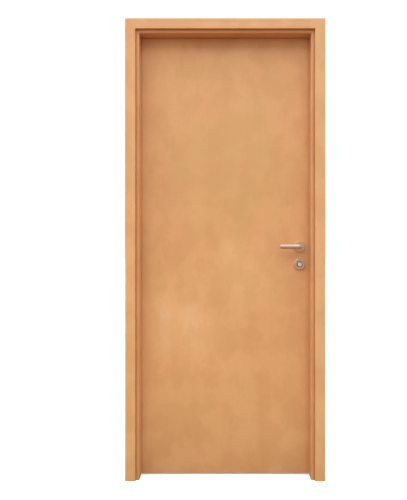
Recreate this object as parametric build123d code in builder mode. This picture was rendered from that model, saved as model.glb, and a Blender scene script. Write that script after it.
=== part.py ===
from build123d import *
import os

# Interior door set: a flush leaf hung on three butt hinges in a rebated, mitred frame, with
# flat casings on both faces of the wall, a mortise lock and a pair of lever handles.
# Millimetres. X runs from the hinge jamb to the lock jamb, Y from the push side to the pull
# side, Z up. The origin is on the outer face of the hinge jamb, at floor level and at half
# the depth of the frame.

# Doorway
clear_width = 810.0  # between the two reveals
clear_height = 2105.0  # from the floor to the underside of the head
frame_depth = 105.0

# Jambs and head: a lining board with a stop planted on it
jamb_thickness = 36.0  # of board and stop together
stop_width = 15.0
front_strip = 12.0  # edge of the jamb left bare on the push side
shadow_gap = 5.0  # open groove between that strip and the casing
shadow_depth = 2.5
stop_round = 6.0  # on the stop's edge towards the opening
rear_strip = 10.0  # edge of the jamb left bare on the pull side
jamb_arris = 2.0

# Casings, each with a tongue that slides into a groove of the jamb
casing_width = 48.0
rear_casing_width = 40.0
casing_thickness = 13.0
casing_round = 2.0
tongue_thickness = 5.0
tongue_depth = 8.0

# Seal on the stop
seal_width = 9.0
seal_height = 3.0
seal_round = 1.4
seal_root_width = 3.0
seal_root_depth = 5.0

# Leaf
leaf_thickness = 43.0
skin_thickness = 4.0
stile_width = 45.0
rail_width = 45.0
leaf_arris = 0.8
hinge_gap = 5.0
lock_gap = 7.0  # wider, because the lock edge swings out as the leaf turns
top_gap = 5.0
floor_gap = 7.0
stop_gap = 8.0

# Butt hinges
hinge_inset = 210.0  # from the ends of the leaf to the middle of the outer hinges
hinge_height = 100.0
plate_width = 30.0
plate_thickness = 2.5
knuckle_radius = 6.5
knuckle_gap = 0.4
knuckle_play = 0.5
hinge_offset = 9.5  # from the rear face of the leaf to the pin
pin_radius = 3.5
pin_fit = 0.06
pin_cap_radius = 5.6
pin_cap_height = 4.0

# Lock and strike
handle_height = 1100.0  # from the floor to the spindle
key_drop = 85.0  # from the spindle to the key cylinder
backset = 55.0  # from the lock edge of the leaf to the spindle
forend_width = 22.0
forend_thickness = 3.0
case_thickness = 16.0
case_depth = 85.0
case_above = 48.0  # from the spindle to the top of the case
case_below = 42.0  # from the key cylinder to the bottom of the case
forend_overhang = 30.0
bolt_width = 14.0
bolt_length = 38.0
bolt_fit = 0.3
latch_height = 28.0
latch_rise = 8.0  # of the latch above the spindle
dead_bolt_height = 40.0
bolt_round = 1.5
strike_width = 24.0
strike_thickness = 2.5
strike_overhang = 26.0
strike_margin = 2.5  # between a bolt and its window in the strike
pocket_depth = 13.0

# Lever handles, roses and key cylinder
rose_radius = 26.0
rose_thickness = 9.0
rose_bevel = 1.2
key_well_radius = 14.0  # sunk round the key cylinder
key_well_depth = 5.0
lever_radius = 10.5
lever_reach = 97.0  # from the spindle to the tip
lever_projection = 50.0  # from the leaf to the middle of the grip
lever_knee = 12.0  # cut from the corner of the lever, along each leg
lever_tip_bevel = 0.6
lever_fit = 0.4  # round the neck of the lever, in its rose
neck_end = 0.5  # from the leaf to the inner end of the neck
spindle_width = 8.0
spindle_depth = 20.0  # of each end of the spindle in its lever
hub_radius = 7.5
cylinder_radius = 10.0
cylinder_fit = 0.3
cylinder_proud = 2.5  # beyond the key rose
keyway_width = 2.2
keyway_height = 9.0
keyway_depth = 5.0

# Lines that several pieces share
frame_width = clear_width + 2 * jamb_thickness
frame_height = clear_height + jamb_thickness
front_edge = -frame_depth / 2
rear_edge = frame_depth / 2
rebate = jamb_thickness - stop_width
front_casing_line = jamb_thickness - front_strip - shadow_gap
rear_casing_line = rebate - rear_strip
leaf_rear = rear_edge
leaf_front = leaf_rear - leaf_thickness
leaf_middle = (leaf_front + leaf_rear) / 2
stop_rear = leaf_front - stop_gap
stop_middle = rebate + stop_width / 2
leaf_hinge_edge = rebate + hinge_gap
lock_rebate = frame_width - rebate
leaf_lock_edge = lock_rebate - lock_gap
leaf_width = leaf_lock_edge - leaf_hinge_edge
leaf_bottom = floor_gap
leaf_top = frame_height - rebate - top_gap
leaf_height = leaf_top - leaf_bottom
core_thickness = leaf_thickness - 2 * skin_thickness
hinge_x = rebate + hinge_gap / 2
hinge_y = leaf_rear + hinge_offset
hinge_levels = {
    "top": leaf_top - hinge_inset,
    "middle": (leaf_top + leaf_bottom) / 2,
    "bottom": leaf_bottom + hinge_inset,
}
knuckle_height = (hinge_height - 2 * knuckle_gap) / 3
knuckle_step = knuckle_height + knuckle_gap
spindle_x = leaf_lock_edge - backset
key_height = handle_height - key_drop
case_top = handle_height + case_above
case_bottom = key_height - case_below
case_edge = leaf_lock_edge - forend_thickness
forend_top = case_top + forend_overhang
forend_bottom = case_bottom - forend_overhang
bolts = {
    "latch_bolt": (handle_height + latch_rise, latch_height),
    "dead_bolt": (key_height, dead_bolt_height),
}
strike_top = handle_height + latch_rise + latch_height / 2 + strike_overhang
strike_bottom = key_height - dead_bolt_height / 2 - strike_overhang

# Sections are drawn with X from the outer face of a member towards the opening
blank_spare = casing_width + rear_casing_width
blank_length = frame_height + blank_spare
hinge_side = Plane.XY
lock_side = Plane(origin=(frame_width, 0, 0), x_dir=(-1, 0, 0), z_dir=(0, 0, -1))
head_side = Plane(origin=(-blank_spare, 0, frame_height), x_dir=(0, 0, -1), z_dir=(1, 0, 0))
hinge_mitre = Plane(origin=(0, 0, frame_height), z_dir=(1, 0, 1))
lock_mitre = Plane(origin=(frame_width, 0, frame_height), z_dir=(-1, 0, 1))
low_high = (Align.MIN, Align.MAX)
high_low = (Align.MAX, Align.MIN)
high_high = (Align.MAX, Align.MAX)


def shadow_groove():
    with Locations((jamb_thickness - front_strip, front_edge)):
        Rectangle(shadow_gap, shadow_depth, align=high_low, mode=Mode.SUBTRACT)


def lining_section():
    Rectangle(rebate, frame_depth, align=(Align.MIN, Align.CENTER))
    chamfer(vertices().group_by(Axis.X)[0], jamb_arris)
    shadow_groove()
    with Locations((front_casing_line, front_edge)):
        Rectangle(tongue_thickness, tongue_depth, align=high_low, mode=Mode.SUBTRACT)
    with Locations((rear_casing_line, rear_edge)):
        Rectangle(tongue_thickness, tongue_depth, align=high_high, mode=Mode.SUBTRACT)


def stop_section():
    with Locations((rebate, stop_rear)):
        Rectangle(stop_width, stop_rear - front_edge, align=low_high)
    fillet(vertices().group_by(Axis.X)[-1].sort_by(Axis.Y)[0], stop_round)
    shadow_groove()
    with Locations((stop_middle, stop_rear)):
        Rectangle(seal_root_width, seal_root_depth, align=(Align.CENTER, Align.MAX), mode=Mode.SUBTRACT)


def front_casing_section():
    with Locations((front_casing_line, front_edge)):
        Rectangle(casing_width, casing_thickness, align=high_high)
        Rectangle(tongue_thickness, tongue_depth, align=high_low)
    fillet(vertices().group_by(Axis.Y)[0], casing_round)


def rear_casing_section():
    with Locations((rear_casing_line, rear_edge)):
        Rectangle(rear_casing_width, casing_thickness, align=high_low)
        Rectangle(tongue_thickness, tongue_depth, align=high_high)
    fillet(vertices().group_by(Axis.Y)[-1], casing_round)


def seal_section():
    with Locations((stop_middle, stop_rear)):
        Rectangle(seal_width, seal_height, align=(Align.CENTER, Align.MIN))
        Rectangle(seal_root_width, seal_root_depth, align=(Align.CENTER, Align.MAX))
    fillet(vertices().group_by(Axis.Y)[-1], seal_round)


def upright(side, section, mitre):
    with BuildPart() as member:
        with BuildSketch(side):
            section()
        extrude(amount=blank_length, dir=(0, 0, 1))
        split(bisect_by=mitre, keep=Keep.BOTTOM)
    return member.part


def head_member(section):
    with BuildPart() as member:
        with BuildSketch(head_side):
            section()
        extrude(amount=frame_width + 2 * blank_spare)
        split(bisect_by=hinge_mitre, keep=Keep.TOP)
        split(bisect_by=lock_mitre, keep=Keep.TOP)
    return member.part


pieces = {}

# Frame
with BuildPart() as hinge_jamb:
    add(upright(hinge_side, lining_section, hinge_mitre))
    with Locations(*[(rebate, leaf_rear, level) for level in hinge_levels.values()]):
        Box(
            plate_thickness,
            plate_width,
            hinge_height,
            align=(Align.MAX, Align.MAX, Align.CENTER),
            mode=Mode.SUBTRACT,
        )
pieces["hinge_jamb"] = hinge_jamb.part

with BuildPart() as lock_jamb:
    add(upright(lock_side, lining_section, lock_mitre))
    with Locations((lock_rebate, leaf_middle, (strike_top + strike_bottom) / 2)):
        Box(
            strike_thickness,
            strike_width,
            strike_top - strike_bottom,
            align=(Align.MIN, Align.CENTER, Align.CENTER),
            mode=Mode.SUBTRACT,
        )
    for level, height in bolts.values():
        with Locations((lock_rebate + strike_thickness, leaf_middle, level)):
            Box(
                pocket_depth,
                bolt_width + 2 * strike_margin,
                height + 2 * strike_margin,
                align=(Align.MIN, Align.CENTER, Align.CENTER),
                mode=Mode.SUBTRACT,
            )
pieces["lock_jamb"] = lock_jamb.part
pieces["head_jamb"] = head_member(lining_section)

trims = {
    "stop": stop_section,
    "front_casing": front_casing_section,
    "rear_casing": rear_casing_section,
    "seal": seal_section,
}
for trim, section in trims.items():
    pieces[f"{trim}_hinge_side"] = upright(hinge_side, section, hinge_mitre)
    pieces[f"{trim}_lock_side"] = upright(lock_side, section, lock_mitre)
    pieces[f"{trim}_head"] = head_member(section)

with BuildPart() as strike_plate:
    with Locations((lock_rebate, leaf_middle, (strike_top + strike_bottom) / 2)):
        Box(
            strike_thickness,
            strike_width,
            strike_top - strike_bottom,
            align=(Align.MIN, Align.CENTER, Align.CENTER),
        )
    for level, height in bolts.values():
        with Locations((lock_rebate, leaf_middle, level)):
            Box(
                strike_thickness,
                bolt_width + 2 * strike_margin,
                height + 2 * strike_margin,
                align=(Align.MIN, Align.CENTER, Align.CENTER),
                mode=Mode.SUBTRACT,
            )
pieces["strike_plate"] = strike_plate.part

# Hinges: the jamb half has the two outer knuckles, the leaf half the middle one
for place, level in hinge_levels.items():
    outer_levels = [level - knuckle_step, level + knuckle_step]

    with BuildPart() as jamb_half:
        with Locations((rebate, leaf_rear - plate_width, level)):
            Box(
                plate_thickness,
                plate_width + hinge_offset,
                hinge_height,
                align=(Align.MAX, Align.MIN, Align.CENTER),
            )
        with Locations((hinge_x, hinge_y, level)):
            Cylinder(
                knuckle_radius + knuckle_play,
                knuckle_height + 2 * knuckle_gap,
                mode=Mode.SUBTRACT,
            )
        with Locations(*[(hinge_x, hinge_y, outer) for outer in outer_levels]):
            Cylinder(knuckle_radius, knuckle_height)
        with Locations((hinge_x, hinge_y, level)):
            Cylinder(pin_radius + pin_fit, hinge_height, mode=Mode.SUBTRACT)
    pieces[f"{place}_hinge_jamb_half"] = jamb_half.part

    with BuildPart() as leaf_half:
        with Locations((leaf_hinge_edge, leaf_rear - plate_width, level)):
            Box(
                plate_thickness,
                plate_width + hinge_offset,
                hinge_height,
                align=(Align.MIN, Align.MIN, Align.CENTER),
            )
        with Locations(*[(hinge_x, hinge_y, outer) for outer in outer_levels]):
            Cylinder(
                knuckle_radius + knuckle_play,
                knuckle_height + 2 * knuckle_gap,
                mode=Mode.SUBTRACT,
            )
        with Locations((hinge_x, hinge_y, level)):
            Cylinder(knuckle_radius, knuckle_height)
            Cylinder(pin_radius + pin_fit, hinge_height, mode=Mode.SUBTRACT)
    pieces[f"{place}_hinge_leaf_half"] = leaf_half.part

    with BuildPart() as hinge_pin:
        with Locations((hinge_x, hinge_y, level)):
            Cylinder(pin_radius, hinge_height)
        with Locations((hinge_x, hinge_y, level + hinge_height / 2)):
            Cylinder(pin_cap_radius, pin_cap_height, align=(Align.CENTER, Align.CENTER, Align.MIN))
        with Locations((hinge_x, hinge_y, level - hinge_height / 2)):
            Cylinder(pin_cap_radius, pin_cap_height, align=(Align.CENTER, Align.CENTER, Align.MAX))
    pieces[f"{place}_hinge_pin"] = hinge_pin.part


# The planes of the lock's holes face the push side, with X right and Y up
def lock_plane(depth):
    return Plane(origin=(spindle_x, depth, handle_height), x_dir=(1, 0, 0), z_dir=(0, -1, 0))


def lock_holes(spindle_hole, cylinder_hole):
    Circle(spindle_hole)
    with Locations((0, -key_drop)):
        Circle(cylinder_hole)


# Leaf
def skin(outer_face, inner_face):
    with BuildPart() as sheet:
        with Locations(((leaf_hinge_edge + leaf_lock_edge) / 2, (outer_face + inner_face) / 2, leaf_bottom)):
            Box(leaf_width, skin_thickness, leaf_height, align=(Align.CENTER, Align.CENTER, Align.MIN))
        shown = sheet.faces().filter_by(Axis.Y).sort_by(lambda face: abs(face.center().Y - outer_face))[0]
        chamfer(shown.edges(), leaf_arris)
        with BuildSketch(lock_plane(leaf_middle)):
            lock_holes(lever_radius + lever_fit, cylinder_radius + cylinder_fit)
        extrude(amount=leaf_thickness, both=True, mode=Mode.SUBTRACT)
        with Locations(*[(leaf_hinge_edge, leaf_rear, level) for level in hinge_levels.values()]):
            Box(
                plate_thickness,
                plate_width,
                hinge_height,
                align=(Align.MIN, Align.MAX, Align.CENTER),
                mode=Mode.SUBTRACT,
            )
    return sheet.part


pieces["leaf_front_skin"] = skin(leaf_front, leaf_front + skin_thickness)
pieces["leaf_rear_skin"] = skin(leaf_rear, leaf_rear - skin_thickness)

with BuildPart() as hinge_stile:
    with Locations((leaf_hinge_edge, leaf_middle, leaf_bottom)):
        Box(stile_width, core_thickness, leaf_height, align=(Align.MIN, Align.CENTER, Align.MIN))
    with Locations(*[(leaf_hinge_edge, leaf_rear, level) for level in hinge_levels.values()]):
        Box(
            plate_thickness,
            plate_width,
            hinge_height,
            align=(Align.MIN, Align.MAX, Align.CENTER),
            mode=Mode.SUBTRACT,
        )
pieces["leaf_hinge_stile"] = hinge_stile.part

with BuildPart() as lock_stile:
    with Locations((leaf_lock_edge, leaf_middle, leaf_bottom)):
        Box(stile_width, core_thickness, leaf_height, align=(Align.MAX, Align.CENTER, Align.MIN))
    with Locations((leaf_lock_edge, leaf_middle, forend_bottom)):
        Box(
            forend_thickness,
            forend_width,
            forend_top - forend_bottom,
            align=(Align.MAX, Align.CENTER, Align.MIN),
            mode=Mode.SUBTRACT,
        )
    with Locations((leaf_lock_edge, leaf_middle, case_bottom)):
        Box(
            stile_width,
            case_thickness,
            case_top - case_bottom,
            align=(Align.MAX, Align.CENTER, Align.MIN),
            mode=Mode.SUBTRACT,
        )
pieces["leaf_lock_stile"] = lock_stile.part

rail_length = leaf_width - 2 * stile_width
rail_middle = (leaf_hinge_edge + leaf_lock_edge) / 2
with BuildPart() as top_rail:
    with Locations((rail_middle, leaf_middle, leaf_top)):
        Box(rail_length, core_thickness, rail_width, align=(Align.CENTER, Align.CENTER, Align.MAX))
pieces["leaf_top_rail"] = top_rail.part

with BuildPart() as bottom_rail:
    with Locations((rail_middle, leaf_middle, leaf_bottom)):
        Box(rail_length, core_thickness, rail_width, align=(Align.CENTER, Align.CENTER, Align.MIN))
pieces["leaf_bottom_rail"] = bottom_rail.part

# Mortise lock, its bolts drawn back flush with the forend
with BuildPart() as lock_case:
    with Locations((case_edge, leaf_middle, case_bottom)):
        Box(
            case_depth,
            case_thickness,
            case_top - case_bottom,
            align=(Align.MAX, Align.CENTER, Align.MIN),
        )
    with BuildSketch(lock_plane(leaf_middle)):
        lock_holes(hub_radius, cylinder_radius + cylinder_fit)
    extrude(amount=case_thickness, both=True, mode=Mode.SUBTRACT)
    for level, height in bolts.values():
        with Locations((case_edge, leaf_middle, level)):
            Box(
                bolt_length,
                bolt_width + 2 * bolt_fit,
                height + 2 * bolt_fit,
                align=(Align.MAX, Align.CENTER, Align.CENTER),
                mode=Mode.SUBTRACT,
            )
pieces["lock_case"] = lock_case.part

with BuildPart() as lock_forend:
    with Locations((leaf_lock_edge, leaf_middle, forend_bottom)):
        Box(
            forend_thickness,
            forend_width,
            forend_top - forend_bottom,
            align=(Align.MAX, Align.CENTER, Align.MIN),
        )
    for level, height in bolts.values():
        with Locations((leaf_lock_edge, leaf_middle, level)):
            Box(
                forend_thickness,
                bolt_width + 2 * bolt_fit,
                height + 2 * bolt_fit,
                align=(Align.MAX, Align.CENTER, Align.CENTER),
                mode=Mode.SUBTRACT,
            )
pieces["lock_forend"] = lock_forend.part

for bolt, (level, height) in bolts.items():
    with BuildPart() as bolt_body:
        with Locations((leaf_lock_edge, leaf_middle, level)):
            Box(bolt_length, bolt_width, height, align=(Align.MAX, Align.CENTER, Align.CENTER))
        fillet(bolt_body.faces().sort_by(Axis.X)[-1].edges(), bolt_round)
    pieces[bolt] = bolt_body.part

with BuildPart() as key_cylinder:
    cylinder_reach = leaf_thickness / 2 + rose_thickness + cylinder_proud
    with BuildSketch(lock_plane(leaf_middle)):
        with Locations((0, -key_drop)):
            Circle(cylinder_radius)
    extrude(amount=cylinder_reach, both=True)
    for end in (leaf_middle - cylinder_reach, leaf_middle + cylinder_reach):
        with BuildSketch(lock_plane(end)):
            with Locations((0, -key_drop)):
                Rectangle(keyway_width, keyway_height)
        extrude(amount=keyway_depth, both=True, mode=Mode.SUBTRACT)
pieces["key_cylinder"] = key_cylinder.part


# Roses
def rose(drop, hole):
    with BuildPart() as disc:
        with BuildSketch(lock_plane(leaf_front)):
            with Locations((0, -drop)):
                Circle(rose_radius)
                Circle(hole, mode=Mode.SUBTRACT)
        extrude(amount=rose_thickness)
        shown = disc.faces().filter_by(Axis.Y).sort_by(Axis.Y)[0]
        chamfer(shown.outer_wire().edges(), rose_bevel)
    return disc.part


leaf_mid_plane = Plane.XZ.offset(-leaf_middle)
pieces["front_handle_rose"] = rose(0, lever_radius + lever_fit)
with BuildPart() as key_rose:
    add(rose(key_drop, cylinder_radius + cylinder_fit))
    with BuildSketch(lock_plane(leaf_front - rose_thickness)):
        with Locations((0, -key_drop)):
            Circle(key_well_radius)
    extrude(amount=-key_well_depth, mode=Mode.SUBTRACT)
pieces["front_key_rose"] = key_rose.part
pieces["rear_handle_rose"] = mirror(pieces["front_handle_rose"], about=leaf_mid_plane)
pieces["rear_key_rose"] = mirror(pieces["front_key_rose"], about=leaf_mid_plane)

# Levers: a round bar that turns from the neck into the grip by two mitres
neck_y = leaf_front - neck_end
grip_y = leaf_front - lever_projection
with BuildPart() as front_lever:
    with BuildLine(Plane.XY.offset(handle_height)):
        Polyline(
            (spindle_x, neck_y),
            (spindle_x, grip_y + lever_knee),
            (spindle_x - lever_knee, grip_y),
            (spindle_x - lever_reach, grip_y),
        )
    with BuildSketch(lock_plane(neck_y)):
        Circle(lever_radius)
    sweep(transition=Transition.RIGHT)
    chamfer(front_lever.faces().sort_by(Axis.X)[0].edges(), lever_tip_bevel)
    with BuildSketch(lock_plane(neck_y)):
        Rectangle(spindle_width, spindle_width)
    extrude(amount=spindle_depth, mode=Mode.SUBTRACT)
pieces["front_lever"] = front_lever.part
pieces["rear_lever"] = mirror(front_lever.part, about=leaf_mid_plane)

with BuildPart() as spindle:
    with BuildSketch(lock_plane(leaf_middle)):
        Rectangle(spindle_width, spindle_width)
    extrude(amount=leaf_thickness / 2 + neck_end + spindle_depth, both=True)
pieces["spindle"] = spindle.part

os.makedirs("parts", exist_ok=True)
for name, piece in pieces.items():
    piece.label = name
    export_step(piece, f"parts/{name}.step")
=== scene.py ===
import math

import bmesh
import bpy
from mathutils import Matrix, Vector


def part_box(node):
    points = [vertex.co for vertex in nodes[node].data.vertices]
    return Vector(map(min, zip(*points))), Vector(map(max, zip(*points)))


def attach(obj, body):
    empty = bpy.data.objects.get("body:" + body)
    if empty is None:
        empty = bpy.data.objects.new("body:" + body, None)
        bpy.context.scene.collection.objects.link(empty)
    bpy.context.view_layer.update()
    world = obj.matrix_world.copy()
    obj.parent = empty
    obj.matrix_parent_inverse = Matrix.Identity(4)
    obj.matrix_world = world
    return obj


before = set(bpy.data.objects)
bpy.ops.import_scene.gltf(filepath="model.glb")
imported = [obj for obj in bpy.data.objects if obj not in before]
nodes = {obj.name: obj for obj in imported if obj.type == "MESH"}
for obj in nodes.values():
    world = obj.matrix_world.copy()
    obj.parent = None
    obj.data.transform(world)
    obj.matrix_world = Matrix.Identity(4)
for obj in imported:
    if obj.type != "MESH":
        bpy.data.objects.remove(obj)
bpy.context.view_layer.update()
print("frame loaded,", len(nodes), "pieces")


# a socket of a node tree: sums on it add Math nodes

class Wire:
    def __init__(self, tree, socket=None):
        self.tree = tree
        self.socket = socket

    def node(self, kind, settings=None, sockets=None, out=0):
        made = self.tree.nodes.new(kind)
        for key, value in (settings or {}).items():
            setattr(made, key, value)
        for key, value in (sockets or {}).items():
            target = pickSocket(made.inputs, key)
            if isinstance(value, Wire):
                self.tree.links.new(value.socket, target)
            else:
                target.default_value = value
        return Wire(self.tree, pickSocket(made.outputs, out) if made.outputs else None)

    def out(self, key):
        return Wire(self.tree, pickSocket(self.socket.node.outputs, key))

    def math(self, operation, first, second=0.0):
        return self.node("ShaderNodeMath", {"operation": operation}, {0: first, 1: second})

    def __add__(self, other):
        return self.math("ADD", self, other)

    def __sub__(self, other):
        return self.math("SUBTRACT", self, other)

    def __rsub__(self, other):
        return self.math("SUBTRACT", other, self)

    def __mul__(self, other):
        return self.math("MULTIPLY", self, other)

    __radd__ = __add__
    __rmul__ = __mul__

    def __abs__(self):
        return self.math("ABSOLUTE", self)

    def above(self, level):
        return self.math("GREATER_THAN", self, level)

    def below(self, level):
        return self.math("LESS_THAN", self, level)

    def larger(self, other):
        return self.math("MAXIMUM", self, other)

    def ease(self, low, high, start=0.0, end=1.0):        # smooth step from start to end
        return self.node(
            "ShaderNodeMapRange", {"interpolation_type": "SMOOTHSTEP"},
            {"Value": self, "From Min": low, "From Max": high, "To Min": start, "To Max": end})

    def mix(self, first, second):                         # colours, by this mask
        return self.node(
            "ShaderNodeMix", {"data_type": "RGBA", "clamp_factor": True},
            {"Factor_Float": self, "A_Color": first, "B_Color": second}, "Result_Color")

    def axes(self):                                       # X, Y and Z of a vector
        split = self.node("ShaderNodeSeparateXYZ", {}, {0: self})
        return split.out("X"), split.out("Y"), split.out("Z")

    def scaled(self, x, y, z):                            # a vector, axis by axis
        return self.node("ShaderNodeVectorMath", {"operation": "MULTIPLY"}, {0: self, 1: (x, y, z)})

    def moved(self, x, y, z):
        return self.node("ShaderNodeVectorMath", {"operation": "ADD"}, {0: self, 1: (x, y, z)})

    def length(self):
        return self.node("ShaderNodeVectorMath", {"operation": "LENGTH"}, {0: self}, "Value")

    def noise(self, scale, detail, roughness):            # about -0.5 to 0.5
        return self.node(
            "ShaderNodeTexNoise", {"noise_dimensions": "3D"},
            {"Vector": self, "Scale": scale, "Detail": detail, "Roughness": roughness}) - 0.5

    def bump(self, strength, distance):
        return self.node(
            "ShaderNodeBump", {}, {"Strength": strength, "Distance": distance, "Height": self}, "Normal")


def pickSocket(sockets, key):
    if isinstance(key, int):
        return sockets[key]
    for socket in sockets:
        if key in (socket.identifier, socket.name):
            return socket
    raise KeyError(key)


def tint(red, green, blue):                               # screen colour, 0 to 255, as a linear one
    linear = []
    for part in (red, green, blue):
        part /= 255
        linear.append(part / 12.92 if part <= 0.04045 else ((part + 0.055) / 1.055) ** 2.4)
    return (*linear, 1.0)


def newFinish(name):
    material = bpy.data.materials.new(name)
    material.use_nodes = True
    material.node_tree.nodes.clear()
    return material, Wire(material.node_tree)


def closeFinish(tree, sockets):
    shader = tree.node("ShaderNodeBsdfPrincipled", {}, sockets)
    tree.node("ShaderNodeOutputMaterial", {}, {"Surface": shader})


def paint(material, *names):
    for name in names:
        piece = nodes[name]
        if not piece.material_slots:
            piece.data.materials.append(material)
        for slot in piece.material_slots:
            slot.material = material


# beech veneer

beech = {
    "leaf": (tint(237, 181, 119), tint(217, 156, 95)),    # pale and deep wood
    # the casing's tints are paler than the leaf's, partly the boards' own tone and partly painted sheen
    "casing": (tint(240, 188, 128), tint(221, 162, 103)),
    # the stop's tints, also used on the linings, are deeper than the leaf's, partly the boards' own tone and
    # partly painted shade of the recess
    "stop": (tint(228, 165, 104), tint(208, 142, 83)),
    "bleached": tint(246, 208, 160),                      # where clouds lie over each other
    "straw": tint(216, 173, 104),
    "rose": tint(238, 164, 112),
    "fleck": tint(158, 96, 52),
    "warp": (1.0, 3.1, 2.0, 0.5),                         # stretch along the grain, scale, detail, roughness
    "cloud": (0.7, 4.2, 3.0, 0.55),
    "patch": (0.8, 8.5, 3.0, 0.55),
    "blush": (0.7, 7.0, 3.0, 0.55),
    "broad": (0.05, 26.0, 2.0, 0.5),
    "fine": (0.018, 240.0, 2.0, 0.6),
    "cloudShare": 0.55,       # soft clouds
    "patchShare": 0.32,       # smaller patches, with clearer edges
    "patchEdge": 0.09,
    "blushShare": 0.16,       # rose and straw places
    "blushEdge": 0.15,
    "broadShare": 0.21,       # streaks along the grain
    "fineShare": 0.252,
    "spotRim": (1.0, 0.1),    # from the rim of a soft place to its core
    "spotRagged": 0.9,
    "fleckCells": (520.0, 520.0, 95.0),                   # in a metre
    "fleckRim": (0.34, 0.12),
    "fleckPlain": 0.45,       # share of the cells without a fleck
    "fleckShare": 0.35,
    "mitreHalf": 0.00025,     # hairline along the mitres of the frame
    "mitreShare": 0.45,
    "seedStep": (1.0, 0.7, 1.3),
    "roughness": 0.42,
    "fineRough": 0.10,
    "fleckRough": 0.06,
    "relief": 0.5,            # height of the fine streaks, depth of the flecks
    "bump": (0.10, 0.0004),   # strength and distance
    "coat": 1.0,
    "coatRoughness": 0.35,
    "ior": 1.5,
}

# raw board where the veneer ends
board = {
    "dark": tint(150, 112, 72),
    "light": tint(176, 140, 98),
    "chips": (310.0, 3.0, 0.65),                          # scale, detail, roughness
    "chipEdge": (0.30, 0.75),
    "rough": 0.3,             # added to the veneer's
    "skin": 0.0006,           # depth from a face that shows it
}

# soft places in the leaf's veneer: x, z, half width, half height, weight, below zero for deep wood. The
# first also lightens the leaf's left edge as painted light against the jamb's shade; the last two are
# painted shade, at the foot and under the head
leafCloudsAndPaintedShade = (
    (0.200, 0.720, 0.30, 0.30, 0.62),
    (0.310, 0.710, 0.24, 0.20, 0.20),
    (0.474, 1.105, 0.07, 0.09, 0.22),
    (0.490, 0.990, 0.24, 0.30, 0.36),
    (0.440, 1.740, 0.46, 0.24, 0.20),
    (0.662, 1.634, 0.14, 0.12, 0.20),
    (0.493, 0.514, 0.16, 0.09, 0.16),
    (0.810, 1.620, 0.12, 0.40, 0.26),
    # painted shade: darker wood towards the foot
    (0.440, 0.080, 0.60, 0.26, -0.22),
    # painted shade along the leaf's top, under the head
    (0.440, 2.110, 0.70, 0.12, -0.32),
)
leafStraw = ((0.460, 1.560, 0.44, 0.62, 0.42),)
rearClouds = (
    (0.300, 1.480, 0.34, 0.40, 0.34),
    (0.580, 0.860, 0.26, 0.42, 0.30),
    (0.330, 0.330, 0.22, 0.18, 0.18),
)

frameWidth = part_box("lock_jamb")[1].x
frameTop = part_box("head_jamb")[1].z
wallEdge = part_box("head_jamb")[0].y
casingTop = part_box("front_casing_head")[1].z


def softPlaces(place, warp, places):                      # sum of soft spots, ragged by the warp
    total = 0.0
    for cx, cz, halfWidth, halfHeight, weight in places:
        away = place.moved(-cx, 0.0, -cz).scaled(1 / halfWidth, 0.0, 1 / halfHeight)
        reach = away.length() + warp * beech["spotRagged"]
        total = reach.ease(*beech["spotRim"]) * weight + total
    return total


def fleckMask(along):
    cells = along.scaled(*beech["fleckCells"])
    cell = cells.node("ShaderNodeTexVoronoi", {"feature": "F1"}, {"Vector": cells, "Scale": 1.0}, "Distance")
    chance = cell.node("ShaderNodeSeparateColor", {}, {0: cell.out("Color")}, "Red")
    return cell.ease(*beech["fleckRim"]) * chance.above(beech["fleckPlain"])


def mitreMask(x, z):                                      # both mitres, by the distance from the middle
    aside = abs(x - frameWidth / 2)
    return abs(z - aside - (frameTop - frameWidth / 2)).below(beech["mitreHalf"])


def bareMask(axes, planes):                               # beyond any of these planes
    bare = None
    for axis, side, level in planes:
        value = axes[axis]
        mask = value.above(level) if side == "above" else value.below(level)
        bare = mask if bare is None else bare.larger(mask)
    return bare


def beechFinish(name, wood, grain="upright", cloudsAndShade=(), straw=(), seed=0.0, boardPlanes=(), mitred=False):
    material, tree = newFinish(name)
    place = tree.node("ShaderNodeTexCoord", out="Object")
    x, y, z = place.axes()
    along = place
    if grain == "level":
        along = place.node("ShaderNodeCombineXYZ", {}, {0: z, 1: y, 2: x})
    along = along.moved(*[seed * step for step in beech["seedStep"]])

    def layer(kind):
        stretch, *settings = beech[kind]
        return along.scaled(1.0, 1.0, stretch).noise(*settings)

    warp = layer("warp")
    fine = layer("fine")
    patch = layer("patch").ease(-beech["patchEdge"], beech["patchEdge"], -0.5, 0.5)
    tone = layer("cloud") * beech["cloudShare"] + patch * beech["patchShare"] + 0.5
    # soft places of tone; on the leaf's face some are painted light and painted shade
    tone = tone + softPlaces(place, warp, cloudsAndShade)
    tone = tone + layer("broad") * beech["broadShare"] + fine * beech["fineShare"]

    pale, deep = beech[wood]
    colour = tone.mix(deep, pale)
    colour = (tone - 1.0).mix(colour, beech["bleached"])
    blush = layer("blush")
    yellow = blush.ease(0.0, -beech["blushEdge"]) * beech["blushShare"]
    colour = (yellow + softPlaces(place, warp, straw)).mix(colour, beech["straw"])
    pink = blush.ease(0.0, beech["blushEdge"]) * beech["blushShare"]
    colour = pink.mix(colour, beech["rose"])
    fleck = fleckMask(along)
    colour = (fleck * beech["fleckShare"]).mix(colour, beech["fleck"])
    if mitred:
        colour = (mitreMask(x, z) * beech["mitreShare"]).mix(colour, beech["fleck"])

    rough = beech["roughness"] + fine * beech["fineRough"] + fleck * beech["fleckRough"]
    if boardPlanes:
        bare = bareMask({"x": x, "y": y, "z": z}, boardPlanes)
        chips = (place.noise(*board["chips"]) + 0.5).ease(*board["chipEdge"])
        colour = bare.mix(colour, chips.mix(board["dark"], board["light"]))
        rough = rough + bare * board["rough"]

    height = (fine - fleck) * beech["relief"]
    closeFinish(tree, {
        "Base Color": colour, "Roughness": rough, "Normal": height.bump(*beech["bump"]),
        "Coat Weight": beech["coat"], "Coat Roughness": beech["coatRoughness"], "IOR": beech["ior"]})
    return material


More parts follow.
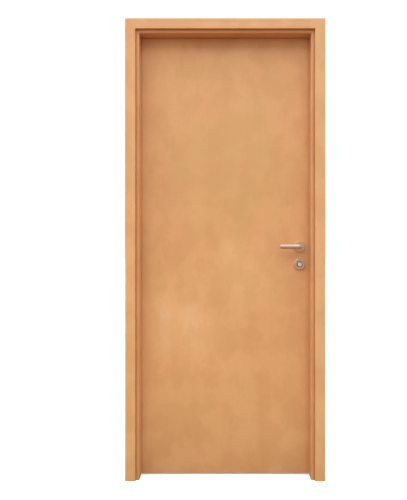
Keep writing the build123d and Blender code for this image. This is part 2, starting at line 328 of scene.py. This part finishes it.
leafBeech = beechFinish("leaf_beech", "leaf", cloudsAndShade=leafCloudsAndPaintedShade, straw=leafStraw)
rearLeafBeech = beechFinish("rear_leaf_beech", "leaf", cloudsAndShade=rearClouds, seed=1.4)
stileBeech = beechFinish("stile_beech", "leaf", seed=2.3)
railBeech = beechFinish("rail_beech", "leaf", "level", seed=3.1)
uprightBeech = beechFinish("upright_beech", "stop", seed=5.7, mitred=True)
headBeech = beechFinish("head_beech", "stop", "level", seed=7.9, mitred=True)
paint(leafBeech, "leaf_front_skin")
paint(rearLeafBeech, "leaf_rear_skin")
paint(stileBeech, "leaf_hinge_stile", "leaf_lock_stile")
paint(railBeech, "leaf_top_rail", "leaf_bottom_rail")
paint(uprightBeech, "stop_hinge_side", "stop_lock_side")
paint(headBeech, "stop_head")

# faces of the frame that show the board
skin = board["skin"]
foot = ("z", "below", skin)
liningBack = (("x", "below", skin), ("x", "above", frameWidth - skin), foot)
headBack = (("z", "above", frameTop - skin),)
casingEnds = (foot, ("z", "above", casingTop - skin))
frontBack = (("y", "above", wallEdge - skin), *casingEnds)
rearBack = (("y", "below", -wallEdge + skin), *casingEnds)

lining = beechFinish("lining_beech", "stop", seed=4.4, boardPlanes=liningBack, mitred=True)
headLining = beechFinish("head_lining_beech", "stop", "level", seed=6.2, boardPlanes=headBack, mitred=True)
paint(lining, "hinge_jamb", "lock_jamb")
paint(headLining, "head_jamb")
for face, back in (("front", frontBack), ("rear", rearBack)):
    casing = face + "_casing_"
    sides = beechFinish(casing + "beech", "casing", seed=8.8, boardPlanes=back, mitred=True)
    headName = face + "_head_casing_beech"
    head = beechFinish(headName, "casing", "level", seed=9.6, boardPlanes=back, mitred=True)
    paint(sides, casing + "hinge_side", casing + "lock_side")
    paint(head, casing + "head")
print("beech painted")


# metals and seal

lengthways = (0.04, 1.0, 1.0)                             # brushed along X
upright = (1.0, 1.0, 0.05)                                # brushed along Z
steel = {
    "lever": {
        "colour": tint(224, 206, 186), "dark": tint(206, 188, 168), "roughness": 0.70, "brush": lengthways},
    "rose": {
        "colour": tint(230, 204, 174), "dark": tint(210, 184, 154), "roughness": 0.42, "brush": upright},
    "cylinder": {
        "colour": tint(250, 246, 240), "dark": tint(240, 234, 226), "roughness": 0.62, "brush": upright},
    "hinge": {
        "colour": tint(190, 187, 182), "dark": tint(160, 156, 150), "roughness": 0.33, "brush": upright},
    "line": (900.0, 3.0, 0.6),                            # scale, detail, roughness
    "cloud": (60.0, 2.0, 0.5),
    "lineShare": 0.5,
    "cloudShare": 0.6,
    "lineRough": 0.16,
    "cloudRough": 0.06,
    "bump": (0.05, 0.0001),   # strength and distance
}

# dark nylon in the well round the key cylinder
well = {
    "colour": tint(104, 88, 74),
    "roughness": 0.62,
    "radius": 0.0143,
    "skin": 0.0003,           # steel at the rim, below the rose's face
    "plug": (0.0067, 0.0070),                             # joint round the plug, inner and outer radius
}

cylinderLow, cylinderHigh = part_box("key_cylinder")
cylinderMiddle = (cylinderLow + cylinderHigh) / 2


def fromCylinder(place):                                  # distance from the axis of the key cylinder
    aside = place.moved(-cylinderMiddle.x, 0.0, -cylinderMiddle.z)
    return aside.scaled(1.0, 0.0, 1.0).length()


def plugMask(place):
    inner, outer = well["plug"]
    reach = fromCylinder(place)
    return reach.above(inner) * reach.below(outer)


def wellMask(place):
    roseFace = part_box("front_key_rose")[0].y
    depth = abs(place.axes()[1] - cylinderMiddle.y)
    sunk = depth.below(cylinderMiddle.y - roseFace - well["skin"])
    return fromCylinder(place).below(well["radius"]) * sunk


def steelFinish(name, kind, mask=None):
    material, tree = newFinish(name)
    place = tree.node("ShaderNodeTexCoord", out="Object")
    line = place.scaled(*kind["brush"]).noise(*steel["line"])
    cloud = place.noise(*steel["cloud"])
    tone = line * steel["lineShare"] + cloud * steel["cloudShare"] + 0.5
    colour = tone.mix(kind["dark"], kind["colour"])
    rough = line * steel["lineRough"] + cloud * steel["cloudRough"] + kind["roughness"]
    metal = 1.0
    if mask:
        dark = mask(place)
        colour = dark.mix(colour, well["colour"])
        rough = rough + dark * (well["roughness"] - kind["roughness"])
        metal = 1.0 - dark
    closeFinish(tree, {
        "Base Color": colour, "Metallic": metal, "Roughness": rough, "Normal": line.bump(*steel["bump"])})
    return material


leverSteel = steelFinish("lever_steel", steel["lever"])
roseSteel = steelFinish("rose_steel", steel["rose"])
keyRoseSteel = steelFinish("key_rose_steel", steel["rose"], wellMask)
cylinderSteel = steelFinish("cylinder_steel", steel["cylinder"], plugMask)
plateSteel = steelFinish("plate_steel", steel["hinge"])
hingeLevels = ("top", "middle", "bottom")
paint(leverSteel, "front_lever", "rear_lever", "spindle")
paint(roseSteel, "front_handle_rose", "rear_handle_rose")
paint(keyRoseSteel, "front_key_rose", "rear_key_rose")
paint(cylinderSteel, "key_cylinder")
paint(plateSteel, "lock_case", "lock_forend", "latch_bolt", "dead_bolt", "strike_plate")
for level in hingeLevels:
    paint(plateSteel, level + "_hinge_jamb_half", level + "_hinge_leaf_half", level + "_hinge_pin")

seal = {
    "colour": tint(92, 62, 40),
    "dark": tint(66, 42, 26),
    "grit": (700.0, 2.0, 0.5),                            # scale, detail, roughness
    "cloud": (30.0, 2.0, 0.5),
    "gritShare": 0.5,
    "roughness": 0.62,
    "gritRough": 0.2,
    "bump": (0.1, 0.0002),    # strength and distance
}


def sealFinish(name):
    material, tree = newFinish(name)
    place = tree.node("ShaderNodeTexCoord", out="Object")
    grit = place.noise(*seal["grit"])
    tone = place.noise(*seal["cloud"]) + grit * seal["gritShare"] + 0.5
    colour = tone.mix(seal["dark"], seal["colour"])
    rough = grit * seal["gritRough"] + seal["roughness"]
    closeFinish(tree, {"Base Color": colour, "Roughness": rough, "Normal": grit.bump(*seal["bump"])})
    return material


paint(sealFinish("brown_seal"), "seal_hinge_side", "seal_lock_side", "seal_head")
print("metal and seal painted")


# countersunk screws with a cross recess

screw = {
    "hinge": 0.0040,          # radius
    "lock": 0.0038,
    "proud": 0.0005,
    "sunk": 0.0002,
    "shoulder": 0.5,          # share of the proud height where the rim starts to slope
    "rim": 0.88,              # share of the radius that is flat on top
    "armLength": 0.56,        # cross recess, shares of the radius
    "armWidth": 0.17,
    "recess": 0.45,
    "floorLength": 0.7,       # its floor, shares of the arms
    "floorWidth": 0.6,
    "sides": 28,
    "turn": 0.4,              # of the first cross
    "turnStep": 1.1,
    "spread": (0.038, 0.013, -0.013, -0.038),             # on a hinge plate, from its middle
    "stagger": (0.010, 0.021, 0.010, 0.021),              # from its front edge
    "forendInset": 0.011,
    "strikeInset": 0.012,
}


def addScrew(mesh, centre, outward, radius, turn):
    side = outward.orthogonal().normalized()
    side.rotate(Matrix.Rotation(turn, 3, outward))
    up = outward.cross(side)

    def at(a, b, h):
        return mesh.verts.new(centre + side * a + up * b + outward * h)

    def ring(r, h):
        steps = [math.tau * i / screw["sides"] for i in range(screw["sides"])]
        return [at(math.cos(t) * r, math.sin(t) * r, h) for t in steps]

    def cross(length, width, h):
        corners = []
        for quarter in range(4):
            c, s = math.cos(quarter * math.pi / 2), math.sin(quarter * math.pi / 2)
            for a, b in ((length, -width), (length, width), (width, width)):
                corners.append(at(a * c - b * s, a * s + b * c, h))
        return corners

    def band(lower, upper):
        for i in range(len(lower)):
            j = (i + 1) % len(lower)
            mesh.faces.new((lower[i], lower[j], upper[j], upper[i]))

    proud = screw["proud"]
    base = ring(radius, -screw["sunk"])
    edge = ring(radius, proud * screw["shoulder"])
    rim = ring(radius * screw["rim"], proud)
    arm, width = radius * screw["armLength"], radius * screw["armWidth"]
    mouth = cross(arm, width, proud)
    depth = proud - radius * screw["recess"]
    bottom = cross(arm * screw["floorLength"], width * screw["floorWidth"], depth)
    mesh.faces.new(list(reversed(base)))
    band(base, edge)
    band(edge, rim)
    band(bottom, mouth)
    mesh.faces.new(bottom)
    loops = []
    for loop in (rim, mouth):
        for i in range(len(loop)):
            pair = (loop[i], loop[(i + 1) % len(loop)])
            loops.append(mesh.edges.get(pair) or mesh.edges.new(pair))
    bmesh.ops.triangle_fill(mesh, use_beauty=True, use_dissolve=False, edges=loops, normal=outward)


def screwGroup(name, body, radius, centres, outward):
    mesh = bmesh.new()
    for i, centre in enumerate(centres):
        turn = screw["turn"] + screw["turnStep"] * i
        addScrew(mesh, Vector(centre), Vector(outward), radius, turn)
    bmesh.ops.recalc_face_normals(mesh, faces=mesh.faces)
    data = bpy.data.meshes.new(name)
    mesh.to_mesh(data)
    mesh.free()
    group = bpy.data.objects.new(name, data)
    bpy.context.scene.collection.objects.link(group)
    data.materials.append(plateSteel)
    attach(group, body)


for level in hingeLevels:
    jambLow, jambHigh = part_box(level + "_hinge_jamb_half")
    leafLow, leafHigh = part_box(level + "_hinge_leaf_half")
    middle = (min(jambLow.z, leafLow.z) + max(jambHigh.z, leafHigh.z)) / 2
    for half, body, low, plateFace, outward in (
            ("jamb", "frame", jambLow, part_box("stop_hinge_side")[0].x, (1, 0, 0)),
            ("leaf", "leaf", leafLow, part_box("leaf_hinge_stile")[0].x, (-1, 0, 0))):
        centres = [
            (plateFace, low.y + back, middle + up)
            for up, back in zip(screw["spread"], screw["stagger"])]
        screwGroup(level + "_hinge_" + half + "_screws", body, screw["hinge"], centres, outward)


def endPair(plateFace, low, high, inset):                 # one screw near each end of a lock plate
    middle = (low.y + high.y) / 2
    return [(plateFace, middle, low.z + inset), (plateFace, middle, high.z - inset)]


forendLow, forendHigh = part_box("lock_forend")
forendPair = endPair(forendHigh.x, forendLow, forendHigh, screw["forendInset"])
screwGroup("forend_screws", "leaf", screw["lock"], forendPair, (1, 0, 0))
strikeLow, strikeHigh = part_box("strike_plate")
strikePair = endPair(strikeLow.x, strikeLow, strikeHigh, screw["strikeInset"])
screwGroup("strike_screws", "frame", screw["lock"], strikePair, (-1, 0, 0))
print("screws placed")


# camera, light and floor

camera = {"place": (0.441, -2.4855, 1.0836), "lens": 37.2, "sensor": 36.0, "shift": -0.0434}

view = bpy.data.cameras.new("camera")
view.lens = camera["lens"]
view.sensor_width = camera["sensor"]
view.shift_x = camera["shift"]
viewer = bpy.data.objects.new("camera", view)
viewer.location = camera["place"]
viewer.rotation_euler = (math.pi / 2, 0.0, 0.0)
bpy.context.scene.collection.objects.link(viewer)
bpy.context.scene.camera = viewer

# the surround's glow by its angle above the horizon, seen square to the wall
light = {
    "ground": 0.47,           # below the horizon
    "groundTint": (1.0, 0.70, 0.53, 1.0),
    "horizon": (-0.40, 0.02),
    "low": 0.62,              # above it
    "lowTint": (1.0, 0.86, 0.80, 1.0),
    "high": 1.84,             # added over these angles
    "highTint": (0.95, 1.0, 1.05, 1.0),
    "highFrom": (0.52, 0.74),
    "left": 0.60,             # added towards the left
    "leftFrom": (-0.3, -0.9),                             # by the X of the direction
    "leftAbove": (0.0, 0.3),                              # by the angle
    "backdrop": 1.02,
    "key": {"place": (-2.6, -2.8, 2.3), "aim": (0.44, 0.0, 1.1), "size": 1.8, "power": 3.0},
}
white = (1.0, 1.0, 1.0, 1.0)

key = light["key"]
lamp = bpy.data.lights.new("key_light", "AREA")
lamp.shape = "DISK"
lamp.size = key["size"]
lamp.energy = key["power"]
holder = bpy.data.objects.new("key_light", lamp)
holder.location = key["place"]
aim = Vector(key["aim"]) - Vector(key["place"])
holder.rotation_euler = aim.to_track_quat("-Z", "Y").to_euler()
holder.visible_camera = False
bpy.context.scene.collection.objects.link(holder)

world = bpy.data.worlds.new("studio")
bpy.context.scene.world = world
world.use_nodes = True
world.node_tree.nodes.clear()
sky = Wire(world.node_tree)
skyX, skyY, skyZ = sky.node("ShaderNodeTexCoord", out="Generated").axes()
angle = sky.math("ARCTAN2", skyZ, abs(skyY))
glow = angle.ease(*light["horizon"], light["ground"], light["low"])
glow = glow + angle.ease(*light["highFrom"], 0.0, light["high"])
glow = glow + angle.ease(*light["leftAbove"]) * skyX.ease(*light["leftFrom"], 0.0, light["left"])
hue = angle.ease(*light["horizon"]).mix(light["groundTint"], light["lowTint"])
hue = angle.ease(*light["highFrom"]).mix(hue, light["highTint"])
around = sky.node("ShaderNodeBackground", {}, {"Color": hue, "Strength": glow})
backdrop = sky.node("ShaderNodeBackground", {}, {"Color": white, "Strength": light["backdrop"]})
seen = sky.node("ShaderNodeLightPath", out="Is Camera Ray")
surround = sky.node("ShaderNodeMixShader", {}, {0: seen, 1: around, 2: backdrop})
sky.node("ShaderNodeOutputWorld", {}, {"Surface": surround})

floor = {
    "centre": (0.441, 0.0, -0.0005),
    "half": (60.0, 60.0),
    "colour": (0.94, 0.94, 0.94, 1.0),
    "roughness": 0.9,
    "glow": 0.25,
}
# a dark mat under the floor, for the light at the foot only
mat = {
    "centre": (0.45, -0.195, -0.02),
    "half": (2.05, 0.255),
    "colour": (0.12, 0.10, 0.08, 1.0),
    "roughness": 0.9,
    "glow": 0.0,
}


def layFlat(name, finish, settings):                      # a flat sheet of the studio
    wide, deep = settings["half"]
    corners = [(-wide, -deep, 0), (wide, -deep, 0), (wide, deep, 0), (-wide, deep, 0)]
    mesh = bpy.data.meshes.new(name)
    mesh.from_pydata(corners, [], [(0, 1, 2, 3)])
    material, tree = newFinish(finish)
    closeFinish(tree, {
        "Base Color": settings["colour"], "Roughness": settings["roughness"], "Specular IOR Level": 0.0,
        "Emission Color": white, "Emission Strength": settings["glow"]})
    mesh.materials.append(material)
    sheet = bpy.data.objects.new(name, mesh)
    sheet.location = settings["centre"]
    bpy.context.scene.collection.objects.link(sheet)
    return sheet


ground = layFlat("studio_floor", "floor_paint", floor)
ground.visible_diffuse = False
ground.visible_glossy = False
ground.visible_shadow = False
cover = layFlat("studio_mat", "mat_paint", mat)

bpy.context.scene.view_settings.view_transform = "Standard"
bpy.context.scene.view_settings.look = "None"
print("camera, light and floor set")
